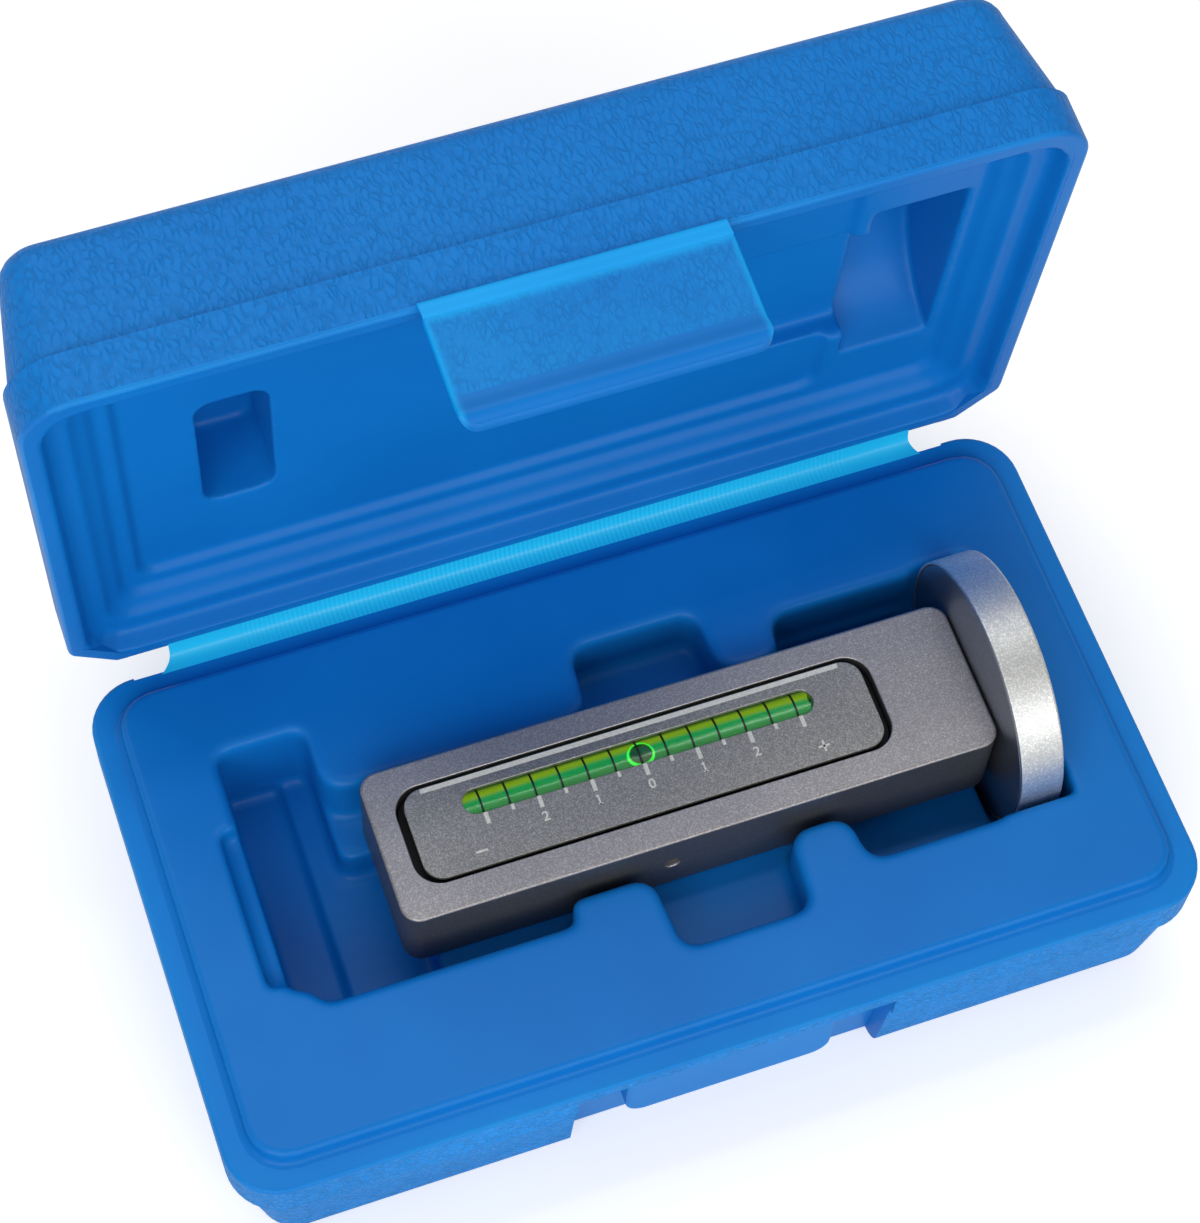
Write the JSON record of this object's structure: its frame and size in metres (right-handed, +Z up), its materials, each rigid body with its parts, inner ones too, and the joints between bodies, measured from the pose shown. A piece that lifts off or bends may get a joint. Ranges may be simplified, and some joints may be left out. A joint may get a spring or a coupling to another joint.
{
  "type": "camber gauge in a case",
  "caption": "Magnetic camber gauge: a grey bar with a bubble vial and a round magnet, lying in an open blue blow-moulded case with a living hinge and a latch flap",
  "frame": {"origin": "middle of the case's flat underside, on the surface it stands on", "axes": "+X along the case, from its plain end to its magnet end; +Y from the latch to the hinge; +Z up"},
  "size_m": [0.1824, 0.1376, 0.1395],
  "materials": {
    "case_blue": "blow-moulded polyethylene, leather-like grain outside, smooth inside",
    "flap_blue": "thin polyethylene, fine grain",
    "hinge_blue": "thin stressed polyethylene, bright and slightly clear",
    "anodised_grey": "fine bead-blasted, grey anodised",
    "dial_grey": "fine satin grey with printed marks",
    "adhesive": "double-sided film",
    "holder_black": "matt black moulding",
    "vial_clear": "clear tube with printed rings",
    "plug_clear": "clear end plug, green from the liquid",
    "vial_green": "green liquid",
    "bubble_pale": "air bubble",
    "screw_black": "black oxide",
    "zinc_silver": "satin zinc plate with a fine sparkle",
    "ferrite": "matt black ferrite",
    "plain_steel": "plain bright steel"
  },
  "bodies": {
    "case_base": {"base_outer_wall": "case_blue", "base_inner_tray": "case_blue", "base_hinge_leaf": "hinge_blue", "gauge_body": "anodised_grey", "dial_plate": "dial_grey", "plate_adhesive": "adhesive", "vial_holder": "holder_black", "vial_tube": "vial_clear", "vial_plug_left": "plug_clear", "vial_plug_right": "plug_clear", "vial_liquid": "vial_green", "holder_grub_screw": "screw_black", "magnet_back_plate": "anodised_grey", "magnet_cup": "zinc_silver", "ring_magnet": "ferrite", "magnet_pole": "zinc_silver", "magnet_lock_washer": "plain_steel", "magnet_screw": "plain_steel"},
    "lid": {"lid_outer_wall": "case_blue", "lid_inner_wall": "case_blue", "lid_hinge_leaf": "hinge_blue", "latch_hinge_leaf": "hinge_blue"},
    "latch": {"latch_flap": "flap_blue"},
    "bubble": {"vial_bubble": "bubble_pale"}
  },
  "joints": [
    {"name": "lid_hinge", "type": "hinge", "parent": "case_base", "child": "lid", "pos_m": [0, 0.05395, 0.03286], "axis": [1, 0, 0], "range_deg": [-92.8, 85.2]},
    {"name": "latch_hinge", "type": "hinge", "parent": "lid", "child": "latch", "pos_m": [0, 0.04533, 0.13896], "axis": [-1, 0, 0], "range_deg": [0, 110]},
    {"name": "bubble_swing", "type": "hinge", "parent": "case_base", "child": "bubble", "pos_m": [0.0004, 0.00385, -0.53476], "axis": [0, 1, 0], "range_deg": [-3, 3], "stiffness_Nm_per_rad": 0.0015}
  ]
}
